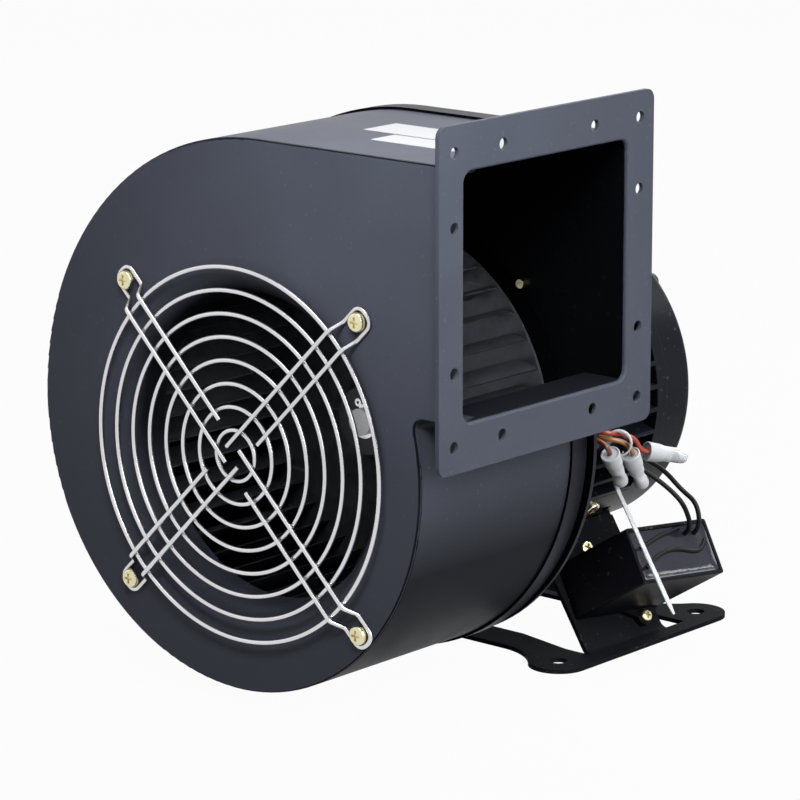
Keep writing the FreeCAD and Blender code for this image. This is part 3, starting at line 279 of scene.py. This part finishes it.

# Grain, drift, bump and edge rounding are in millimetres. A finish with inside gets painted shade: its colour
# and specular are darkened by that mask.
casingPaint = {"colour": (0.034, 0.038, 0.051), "rough": 0.44, "specular": 0.10, "grain": 1.1, "bump": 0.06,
               "tone": 0.09, "dust": 0.03, "edge": 0.45}
finishes = {
    "casing_paint": casingPaint,
    # Shaded copies of the casing paint carry painted shade on their inner faces; the plates' copy also has a
    # near-black base colour.
    "wrapperPaintShaded": {**casingPaint, "inside": "Wrapper"},
    "bellPaintShaded": {**casingPaint, "inside": "Bell"},
    "platePaintShaded": {**casingPaint, "colour": (0.009, 0.010, 0.014), "inside": "Plate"},
    "guard_plate": {"colour": (0.66, 0.66, 0.68), "rough": 0.26, "metal": 1.0, "grain": 0.8, "bump": 0.015,
                    "tone": 0.05},
    "motor_paint": {"colour": (0.0046, 0.0052, 0.0078), "rough": 0.34, "specular": 0.05, "grain": 0.9,
                    "bump": 0.10, "tone": 0.2, "dust": 0.05, "edge": 0.3},
    "foot_paint": {"colour": (0.007, 0.0075, 0.009), "rough": 0.36, "specular": 0.002, "grain": 1.0,
                   "bump": 0.05, "tone": 0.12, "dust": 0.05, "edge": 0.3},
    "zinc_yellow": {"colour": (0.74, 0.68, 0.45), "rough": 0.24, "metal": 1.0, "grain": 0.5, "bump": 0.02,
                    "tone": 0.25, "edge": 0.15},
    "label_film": {"colour": (0.27, 0.275, 0.285), "rough": 0.45, "specular": 0.08, "grain": 0.7,
                   "bump": 0.01, "tone": 0.05, "dust": 0.05},
    "galvanised": {"colour": (0.062, 0.066, 0.077), "rough": 0.40, "metal": 0.8, "grain": 3.0, "bump": 0.02,
                   "tone": 0.3, "drift": 7.0, "scratches": 0.12, "edge": 0.12},
    "bright_steel": {"colour": (0.48, 0.48, 0.49), "rough": 0.28, "metal": 1.0, "grain": 0.5, "bump": 0.01,
                     "tone": 0.1, "scratches": 0.3},
    "dark_steel": {"colour": (0.06, 0.06, 0.065), "rough": 0.35, "metal": 1.0, "grain": 0.6, "bump": 0.02,
                   "tone": 0.2},
    "spring_steel": {"colour": (0.86, 0.86, 0.85), "rough": 0.14, "metal": 1.0, "grain": 0.6, "bump": 0.01,
                     "tone": 0.1},
    "grommet_rubber": {"colour": (0.012, 0.012, 0.012), "rough": 0.55, "grain": 0.6, "bump": 0.03},
    "core_steel": {"colour": (0.16, 0.17, 0.18), "rough": 0.45, "metal": 1.0, "grain": 0.5, "bump": 0.05},
    "copper_winding": {"colour": (0.42, 0.13, 0.04), "rough": 0.3, "metal": 0.8, "grain": 0.8, "bump": 0.3,
                       "tone": 0.3},
    "cast_aluminium": {"colour": (0.45, 0.46, 0.47), "rough": 0.45, "metal": 1.0, "grain": 1.2, "bump": 0.1},
    "capacitor_plastic": {"colour": (0.0028, 0.0028, 0.0045), "rough": 0.40, "specular": 0.05, "grain": 0.5,
                          "bump": 0.03, "tone": 0.1, "dust": 0.04, "edge": 0.5},
    "resin": {"colour": (0.010, 0.011, 0.017), "rough": 0.12, "specular": 0.15, "grain": 9.0, "bump": 0.9,
              "tone": 0.15, "coat": 0.15},
    "white_nylon": {"colour": (0.36, 0.375, 0.39), "rough": 0.26, "specular": 0.35, "grain": 2.2,
                    "bump": 0.05, "tone": 0.06, "glow": 0.25, "edge": 0.2},
    "red_sleeve": {"colour": (0.22, 0.022, 0.010), "rough": 0.34, "grain": 0.7, "bump": 0.04, "tone": 0.3},
    "yellow_sleeve": {"colour": (0.24, 0.10, 0.03), "rough": 0.34, "grain": 0.7, "bump": 0.04, "tone": 0.2},
    "brown_sleeve": {"colour": (0.12, 0.03, 0.013), "rough": 0.34, "grain": 0.7, "bump": 0.04, "tone": 0.2},
    "black_sleeve": {"colour": (0.0025, 0.0025, 0.003), "rough": 0.40, "specular": 0.12, "grain": 0.7,
                     "bump": 0.03, "tone": 0.1},
}


finishDefaults = {"metal": 0.0, "specular": 0.5, "coat": 0.0, "tone": 0.08, "drift": 45.0, "dust": 0.0,
                  "scratches": 0.0}
shaderSpec = {"coatRough": 0.05, "glowReach": 2 * mm, "roughSpread": 0.06, "bumpStrength": 0.5,
              "innerShade": 0.86, "edgeSamples": 6}


def buildMaterial(name, finish, shared):
    spec = {**finishDefaults, **finish}
    material = bpy.data.materials.new(name)
    material.use_nodes = True
    tree = material.node_tree
    shader = tree.nodes["Principled BSDF"]
    grain = node(tree, "Group", {
        "Colour": (*spec["colour"], 1), "Roughness": spec["rough"], "Roughness Spread": shared["roughSpread"],
        "Tone Spread": spec["tone"], "Grain Size": spec["grain"], "Drift Size": spec["drift"],
        "Dust": spec["dust"], "Scratches": spec["scratches"],
    }, node_tree=finishGrain)
    bump = node(tree, "Bump", {"Strength": shared["bumpStrength"], "Distance": spec["bump"] * mm,
                               "Height": grain.outputs["Height"]})
    feed(tree, shader, {
        "Metallic": spec["metal"], "Specular IOR Level": spec["specular"], "Coat Weight": spec["coat"],
        "Coat Roughness": shared["coatRough"], "Roughness": grain.outputs["Roughness"],
        "Normal": bump.outputs[0],
    })
    if "glow" in spec:
        feed(tree, shader, {"Subsurface Weight": spec["glow"], "Subsurface Radius": (1, 1, 1),
                            "Subsurface Scale": shared["glowReach"]})
    # Painted shade: the inside mask darkens base colour and specular in place of shadow.
    if "inside" in spec:
        masks = node(tree, "Group", {}, node_tree=insideMasks)
        inner = mathNode(tree, "MULTIPLY", masks.outputs[spec["inside"]], shared["innerShade"])
        unshadedShare = mathNode(tree, "SUBTRACT", 1.0, inner)
        shadedColour = node(tree, "VectorMath", {0: grain.outputs["Colour"], "Scale": unshadedShare},
                      operation="SCALE")
        shadedGloss = mathNode(tree, "MULTIPLY", unshadedShare, spec["specular"])
        feed(tree, shader, {"Base Color": shadedColour.outputs[0], "Specular IOR Level": shadedGloss})
    else:
        feed(tree, shader, {"Base Color": grain.outputs["Colour"]})
    if "edge" in spec:
        bevel = node(tree, "Bevel", {"Radius": spec["edge"] * mm}, samples=shared["edgeSamples"])
        feed(tree, bump, {"Normal": bevel.outputs[0]})
    return material


materials = {name: buildMaterial(name, finish, shaderSpec) for name, finish in finishes.items()}
# Painted shade: the scroll shell, inlet plate and both plates get the shaded copies of the casing paint.
shadedFinishes = {"scroll_wrapper": "wrapperPaintShaded", "inlet_plate": "bellPaintShaded", "back_plate": "platePaintShaded",
                 "motor_plate": "platePaintShaded"}
for part in frame["record"]["subparts"]:
    data = frame["nodes"][part["node"]].data
    data.materials.clear()
    data.materials.append(materials[shadedFinishes.get(part["node"], part["material_slot"])])

# Modelling

# Cosines: a face looks along an axis above the first and across it below the second.
aligned, crosswise = 0.9, 0.1


def inMetres(values):
    return [value * mm for value in values]


def selectOnly(piece, *others):
    bpy.ops.object.select_all(action="DESELECT")
    for chosen in (piece, *others):
        chosen.select_set(True)
    bpy.context.view_layer.objects.active = piece


def startPiece(kind, name, **settings):
    bpy.ops.object.select_all(action="DESELECT")
    getattr(bpy.ops.mesh, "primitive_" + kind + "_add")(**settings)
    made = bpy.context.object
    made.name = name
    return made


def pick(piece, kind, wanted):
    bpy.ops.object.mode_set(mode="EDIT")
    bpy.ops.mesh.select_mode(type=kind)
    bpy.ops.mesh.select_all(action="DESELECT")
    bpy.ops.object.mode_set(mode="OBJECT")
    for element in piece.data.polygons if kind == "FACE" else piece.data.vertices:
        element.select = wanted(element)
    bpy.ops.object.mode_set(mode="EDIT")


def extrudeBy(move, size=None):
    bpy.ops.mesh.extrude_region_move(TRANSFORM_OT_translate={"value": move})
    if size:
        bpy.ops.transform.resize(value=size, center_override=(0, 0, 0))


def applied(piece, kind, **settings):
    bpy.ops.object.mode_set(mode="OBJECT")
    modifier = piece.modifiers.new(kind.lower(), kind)
    for key, value in settings.items():
        setattr(modifier, key, value)
    bpy.context.view_layer.objects.active = piece
    bpy.ops.object.modifier_apply(modifier=modifier.name)


def setDown(piece, matrix):
    bpy.ops.object.mode_set(mode="OBJECT")
    piece.matrix_world = matrix
    selectOnly(piece)
    bpy.ops.object.transform_apply(location=True, rotation=True, scale=True)


def handOver(piece, finish, replaced=None, smooth=40):
    bpy.ops.object.mode_set(mode="OBJECT")
    selectOnly(piece)
    bpy.ops.object.mode_set(mode="EDIT")
    bpy.ops.mesh.select_all(action="SELECT")
    bpy.ops.mesh.normals_make_consistent(inside=False)
    bpy.ops.object.mode_set(mode="OBJECT")
    bpy.ops.object.shade_smooth_by_angle(angle=math.radians(smooth))
    piece.data.materials.clear()
    piece.data.materials.append(materials[finish])
    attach(piece, "housing")
    if replaced:
        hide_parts(replaced)


# Low pan heads on the cover's bolts, so that none stands above the cover's rim, each with a cross recess.

boltSpec = {
    "circle": 64.5, "height": 112.0, "face": 34.15, "turns": (45, 135, 225, 315), "sides": 32, "head": 3.9,
    "rise": 1.3, "rim": 0.9, "crown": 0.35, "edge": 0.25, "cross": (4.2, 0.9, 0.85), "crossTurns": (20, 110),
}


def buildCoverBolts(spec):
    head = startPiece("cylinder", "boltHead", vertices=spec["sides"], radius=spec["head"] * mm,
                      depth=spec["rise"] * mm, rotation=(-math.pi / 2, 0, 0))
    bpy.ops.object.transform_apply(rotation=True)
    pick(head, "FACE", lambda face: face.normal.y > aligned)
    bpy.ops.mesh.inset(thickness=spec["rim"] * mm, depth=spec["crown"] * mm)
    applied(head, "BEVEL", width=spec["edge"] * mm, segments=2)
    top = (spec["rise"] / 2 + spec["crown"]) * mm
    for turn in spec["crossTurns"]:
        bar = startPiece("cube", "crossBar", size=mm, location=(0, top, 0),
                         rotation=(0, math.radians(turn), 0), scale=spec["cross"])
        applied(head, "BOOLEAN", object=bar, operation="DIFFERENCE", solver="EXACT")
        bpy.data.objects.remove(bar)
    heads = []
    for angle in map(math.radians, spec["turns"]):
        selectOnly(head)
        bpy.ops.object.duplicate()
        bpy.ops.transform.translate(value=(spec["circle"] * math.cos(angle) * mm, spec["face"] * mm,
                                           (spec["height"] + spec["circle"] * math.sin(angle)) * mm))
        bpy.ops.object.transform_apply(location=True)
        heads.append(bpy.context.object)
    bpy.data.objects.remove(head)
    selectOnly(*heads)
    bpy.ops.object.join()
    heads[0].name = "coverBolts"
    handOver(heads[0], "dark_steel", "cover_bolts")


buildCoverBolts(boltSpec)
print("cover bolts made")

# The legs' last millimetres, which reach the motor's body: drawn once and mirrored to the other leg.

tipSpec = {"centre": (33.46, -6.0, 49.7), "size": (1.9, 53.4, 3.0), "lean": 32.0, "rim": 0.4, "crown": 0.3,
           "edge": 0.35}


def buildLegTips(spec):
    first = startPiece("cube", "legTip", size=mm, location=inMetres(spec["centre"]),
                       rotation=(0, -math.radians(spec["lean"]), 0), scale=spec["size"])
    bpy.ops.object.transform_apply(location=True, rotation=True, scale=True)
    pick(first, "FACE", lambda face: abs(face.normal.y) > aligned)
    bpy.ops.mesh.inset(thickness=spec["rim"] * mm, depth=spec["crown"] * mm)
    applied(first, "BEVEL", width=spec["edge"] * mm, segments=3)
    bpy.ops.object.duplicate()
    second = bpy.context.object
    second.name = "legTipMirrored"
    bpy.ops.transform.resize(value=(-1, 1, 1), center_override=(0, 0, 0))
    bpy.ops.object.transform_apply(scale=True)
    for tip in (first, second):
        handOver(tip, "foot_paint")


buildLegTips(tipSpec)
print("leg tips made")

# Crimp caps: a flared skirt, a barrel pinched once by the tool, and a rounded tip.

capSpec = {
    "sides": 28, "foot": 0.6, "skirt": 4.4, "rim": 0.75, "recess": 0.5,
    "rows": [(3.2, 4.25, 4.25), (6.6, 4.12, 4.12), (8.0, 3.62, 3.62), (9.0, 3.48, 3.48), (11.4, 3.48, 3.48),
             (12.2, 3.80, 2.45), (14.6, 3.85, 2.05), (15.6, 3.52, 3.20), (18.8, 3.44, 3.44), (20.3, 2.9, 2.9),
             (21.0, 1.7, 1.7)],
    "places": {
        1: ((80.0, -38.9, 97.0), (-0.138, 0.601, -0.787), 15),
        2: ((80.0, -24.6, 94.3), (-0.071, 0.554, -0.829), 70),
        3: ((80.4, -13.5, 93.4), (0.368, 0.901, -0.231), 115),
    },
}


def buildCap(number, spec):
    place, direction, turn = spec["places"][number]
    cap = startPiece("cylinder", f"crimpCap{number}", vertices=spec["sides"], radius=spec["skirt"] * mm,
                     depth=spec["foot"] * mm, location=(0, 0, spec["foot"] / 2 * mm))
    bpy.ops.object.transform_apply(location=True)
    pick(cap, "FACE", lambda face: face.normal.z > aligned)
    level, wide, deep = spec["foot"], spec["skirt"], spec["skirt"]
    for height, width, depth in spec["rows"]:
        extrudeBy((0, 0, (height - level) * mm), (width / wide, depth / deep, 1))
        level, wide, deep = height, width, depth
    pick(cap, "FACE", lambda face: face.normal.z < -aligned)
    bpy.ops.mesh.inset(thickness=spec["rim"] * mm)
    extrudeBy((0, 0, spec["recess"] * mm))
    bpy.ops.mesh.inset(thickness=spec["rim"] * mm)
    applied(cap, "SUBSURF", levels=2)
    axis = Vector(direction).to_track_quat("Z", "Y") @ Euler((0, 0, math.radians(turn))).to_quaternion()
    setDown(cap, Matrix.Translation(inMetres(place)) @ axis.to_matrix().to_4x4())
    handOver(cap, "white_nylon", f"crimp_cap_{number}", smooth=60)


for number in capSpec["places"]:
    buildCap(number, capSpec)
print("crimp caps made")

# Cable tie: a toothed band round the leads, a locking head with its slot, and a long tapered tail.

tieSpec = {
    "centre": (79.4, -32.0, 100.4), "radius": 6.0, "width": 2.4, "thick": 0.9, "sides": 44, "turn": 28.0,
    "toothRim": 0.12, "toothDepth": 0.10, "bandEdge": 0.10,
    "head": (2.3, 4.4, 4.4), "headPlace": (74.15, -33.5, 101.8), "headEdge": 0.28, "slotRim": 0.45,
    "slotWall": 0.05, "slot": 0.9, "pawlRim": 0.7, "pawlRise": 0.18,
    "tailThick": 0.6, "tailEnd": (0.8, 0.55, 1), "tailEdge": 0.14,
    "tail": [(74.1, -33.5, 100.3), (73.7, -31.6, 95.0), (73.0, -28.6, 88.0), (72.9, -26.4, 82.6),
             (73.5, -25.7, 78.9), (75.4, -25.7, 75.4), (80.0, -25.8, 68.4), (86.7, -26.1, 58.1),
             (93.4, -26.4, 47.8), (100.1, -26.7, 37.6), (104.6, -26.9, 30.7), (107.0, -27.0, 27.2)],
}


def buildTie(spec):
    turn = math.radians(spec["turn"])
    band = startPiece("cylinder", "cableTie", vertices=spec["sides"], radius=spec["radius"] * mm,
                      depth=spec["width"] * mm, end_fill_type="NOTHING", location=inMetres(spec["centre"]),
                      rotation=(math.pi / 2, 0, turn))
    bpy.ops.object.transform_apply(location=True, rotation=True)
    applied(band, "SOLIDIFY", thickness=spec["thick"] * mm, offset=-1)
    axis = Vector((math.sin(turn), -math.cos(turn), 0))
    pick(band, "FACE", lambda face: abs(face.normal.dot(axis)) < crosswise and face.index % 2 == 0)
    bpy.ops.mesh.inset(thickness=spec["toothRim"] * mm, depth=-spec["toothDepth"] * mm, use_individual=True)
    applied(band, "BEVEL", width=spec["bandEdge"] * mm, segments=2)
    head = startPiece("cube", "tieHead", size=mm, location=inMetres(spec["headPlace"]), scale=spec["head"])
    bpy.ops.object.transform_apply(location=True, rotation=True, scale=True)
    pick(head, "FACE", lambda face: abs(face.normal.z) > aligned)
    bpy.ops.mesh.inset(thickness=spec["slotRim"] * mm)
    bpy.ops.mesh.inset(thickness=spec["slotWall"] * mm, depth=-spec["slot"] * mm)
    pick(head, "FACE", lambda face: face.normal.x < -aligned)
    bpy.ops.mesh.inset(thickness=spec["pawlRim"] * mm, depth=spec["pawlRise"] * mm)
    applied(head, "BEVEL", width=spec["headEdge"] * mm, segments=3)
    before, *spots = [Vector(spot) for spot in spec["tail"]]
    tail = startPiece("cube", "tieTail", size=mm, location=before * mm,
                      scale=(spec["thick"], spec["width"], spec["tailThick"]))
    bpy.ops.object.transform_apply(location=True, rotation=True, scale=True)
    pick(tail, "FACE", lambda face: face.normal.z < -aligned)
    for spot in spots:
        extrudeBy((spot - before) * mm)
        before = spot
    bpy.ops.transform.resize(value=spec["tailEnd"], center_override=before * mm)
    applied(tail, "BEVEL", width=spec["tailEdge"] * mm, segments=2)
    selectOnly(band, head, tail)
    bpy.ops.object.join()
    handOver(band, "white_nylon", "cable_tie")


buildTie(tieSpec)
print("cable tie made")

# Capacitor: the potting resin creeps up the case's walls, and the leads lie half sunk in it.

caseSpec = {
    "corner": (42.43, -28.3, 37.22), "lean": 32.0, "tilt": -7.0, "length": 54.0, "height": 26.06,
    "depth": 45.0, "wall": 1.6, "recess": 1.2, "thick": 3.0, "cells": (36, 18),
    "creep": ((0.3, 0.75), (2.0, 0.22)), "lump": (43.0, 5.0, 1.1, 7.0), "lumpSteps": (1.0, 0.66, 0.33),
    "sunk": {
        "upperLead": [(35.6, 2.6), (31.0, 3.6), (25.0, 4.4), (18.0, 5.9), (11.0, 8.2), (6.5, 9.6)],
        "lowerLead": [(50.4, 9.4), (47.6, 12.6), (42.6, 14.4), (37.0, 13.6), (31.0, 12.2), (24.6, 12.0),
                      (17.6, 13.4), (11.0, 16.0), (6.0, 18.6)],
    },
    "sunkWidth": 2.0, "sunkLift": 0.15,
}


def caseMatrix(spec):
    lean, tilt = math.radians(spec["lean"]), math.radians(spec["tilt"])
    up = Vector((-math.sin(lean), 0, math.cos(lean)))
    out = Vector((math.cos(lean), 0, math.sin(lean)))
    along = Vector((0, math.cos(tilt), 0)) + up * math.sin(tilt)
    rise = up * math.cos(tilt) - Vector((0, math.sin(tilt), 0))
    turned = Matrix((along, rise, out)).transposed().to_4x4()
    return Matrix.Translation(inMetres(spec["corner"])) @ turned


def buildResin(spec):
    wide = spec["length"] - 2 * spec["wall"]
    tall = spec["height"] - 2 * spec["wall"]
    level = spec["depth"] - spec["recess"]
    columns, rows = spec["cells"]
    resin = startPiece("grid", "pottingResin", x_subdivisions=columns, y_subdivisions=rows, size=mm,
                       location=inMetres((spec["length"] / 2, -spec["height"] / 2, level)))
    resin.scale = (wide, tall, 1)
    bpy.ops.object.transform_apply(location=True, scale=True)
    left, right = spec["wall"] * mm, (spec["length"] - spec["wall"]) * mm
    top, bottom = -spec["wall"] * mm, (spec["wall"] - spec["height"]) * mm

    def wallGap(co):
        return min(co.x - left, right - co.x, top - co.y, co.y - bottom)

    for reach, lift in spec["creep"]:
        pick(resin, "VERT", lambda point: wallGap(point.co) < reach * mm)
        bpy.ops.transform.translate(value=(0, 0, lift * mm))
    x, down, lift, spread = spec["lump"]
    peak = Vector((x, -down)) * mm
    for share in spec["lumpSteps"]:
        pick(resin, "VERT", lambda point: (point.co.xy - peak).length < share * spread * mm)
        bpy.ops.transform.translate(value=(0, 0, lift / len(spec["lumpSteps"]) * mm))
    applied(resin, "SMOOTH", factor=0.6, iterations=3)
    applied(resin, "SOLIDIFY", thickness=spec["thick"] * mm, offset=-1)
    setDown(resin, caseMatrix(spec))
    handOver(resin, "resin", "capacitor_resin", smooth=50)


def layTube(name, routes, width, finish):
    curve = bpy.data.curves.new(name, "CURVE")
    curve.dimensions = "3D"
    curve.resolution_u = 12
    curve.bevel_depth = width / 2 * mm
    curve.bevel_resolution = 5
    curve.use_fill_caps = True
    for points in routes:
        spline = curve.splines.new("NURBS")
        spline.points.add(len(points) - 1)
        for point, place in zip(spline.points, points):
            point.co = (*place, 1)
        spline.order_u = 3
        spline.use_endpoint_u = True
    tube = bpy.data.objects.new(name, curve)
    bpy.context.scene.collection.objects.link(tube)
    curve.materials.append(materials[finish])
    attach(tube, "housing")
    return tube


def laySunkLead(name, spots, spec):
    lift = spec["depth"] - spec["recess"] + spec["sunkLift"]
    points = [caseMatrix(spec) @ Vector(inMetres((x, -down, lift))) for x, down in spots]
    layTube(name, [points], spec["sunkWidth"], "black_sleeve")


buildResin(caseSpec)
for name, spots in caseSpec["sunk"].items():
    laySunkLead(name, spots, caseSpec)
print("capacitor potted")

# Guard hairpins: a long and a short limb on the rings, a step back to the plate and a loop round the screw.

hairpinSpec = {
    "height": 112.0, "gap": 5.0, "front": -192.5, "plate": -186.5, "ends": (0.5, 15.5), "step": (81.5, 86.5),
    "screw": 93.2, "turns": (45, 135, 225, 315), "wire": 2.0, "soften": 2.6,
}


def hairpinRoute(turn, spec):
    along = Vector((math.cos(math.radians(turn)), 0, math.sin(math.radians(turn))))
    across = Vector((-along.z, 0, along.x)) * spec["gap"]
    stepUp, stepDown = spec["step"]
    corners = []
    for side, inner in zip((1, -1), spec["ends"]):
        spots = [(inner, spec["front"], 0), (stepUp, spec["front"], spec["soften"]),
                 (stepDown, spec["plate"], spec["soften"]), (spec["screw"] + spec["gap"], spec["plate"], 0)]
        limb = [(along * reach + across * side + Vector((0, level, spec["height"])), soften)
                for reach, level, soften in spots]
        corners += limb[::side]
    route = [corners[0][0]]
    for (before, _), (corner, soften), (after, _) in zip(corners, corners[1:], corners[2:]):
        if soften:
            back, on = [(other - corner).normalized() * soften for other in (before, after)]
            route += [corner + back, corner, corner + on]
        else:
            route.append(corner)
    route.append(corners[-1][0])
    return [point * mm for point in route]


hairpins = layTube("guardHairpins", [hairpinRoute(turn, hairpinSpec) for turn in hairpinSpec["turns"]],
                   hairpinSpec["wire"], "guard_plate")
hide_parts("guard_spokes")
print("guard hairpins laid")

# Wiring

cordSpecs = {
    "leadRed": {
        "node": "lead_red", "finish": "red_sleeve", "length": 33.4, "end": "connector",
        "route": [(72.5, -38.8, 105.9), (77.0, -38.8, 105.9), (78.6, -30.5, 104.0), (79.4, -20.6, 100.6),
                  (80.41, -17.71, 94.32), (81.88, -14.1, 93.4)],
        "carries": ["crimpCap3"],
    },
    "capacitorLeadFirst": {
        "node": "capacitor_lead_1", "finish": "black_sleeve", "length": 64.0, "end": "object",
        "route": [(78.92, -12.9, 93.4), (77.3, -16.86, 94.42), (73.4, -18.2, 92.0), (73.0, -12.6, 85.6),
                  (78.2, -3.6, 79.0), (84.0, 2.2, 72.0), (88.32, 5.05, 65.88), (89.60, 8.75, 54.79),
                  (84.93, 8.75, 51.87)],
        "carries": [],
    },
    "capacitorLeadSecond": {
        "node": "capacitor_lead_2", "finish": "black_sleeve", "length": 85.6, "end": "object",
        "route": [(78.41, -24.8, 94.3), (78.75, -27.41, 98.2), (74.0, -26.5, 99.9), (71.8, -20.5, 96.2),
                  (71.6, -11.0, 90.5), (72.5, -1.5, 85.5), (75.0, 7.5, 79.5), (80.0, 13.2, 70.5),
                  (87.45, 15.14, 65.33), (90.22, 14.14, 53.80), (85.55, 14.14, 50.88)],
        "carries": ["crimpCap2", "cableTie"],
    },
    "leadYellow": {
        "node": "lead_yellow", "finish": "yellow_sleeve",
        "route": [(72.5, -36.9, 102.8), (76.6, -36.9, 102.8), (80.6, -32.2, 101.6), (81.93, -27.06, 98.28),
                  (81.59, -24.4, 94.3)],
    },
    "leadBrown": {
        "node": "lead_brown", "finish": "brown_sleeve",
        "route": [(72.5, -41.2, 102.6), (76.5, -41.2, 102.6), (80.59, -41.48, 100.38), (80.0, -38.9, 97.0)],
    },
}
leadWidth = 2.2


def layCord(name, spec):
    points = [inMetres(place) for place in spec["route"]]
    lead = layTube(name, [points], leadWidth, spec["finish"])
    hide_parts(spec["node"])


for name, spec in cordSpecs.items():
    layCord(name, spec)
print("leads laid")
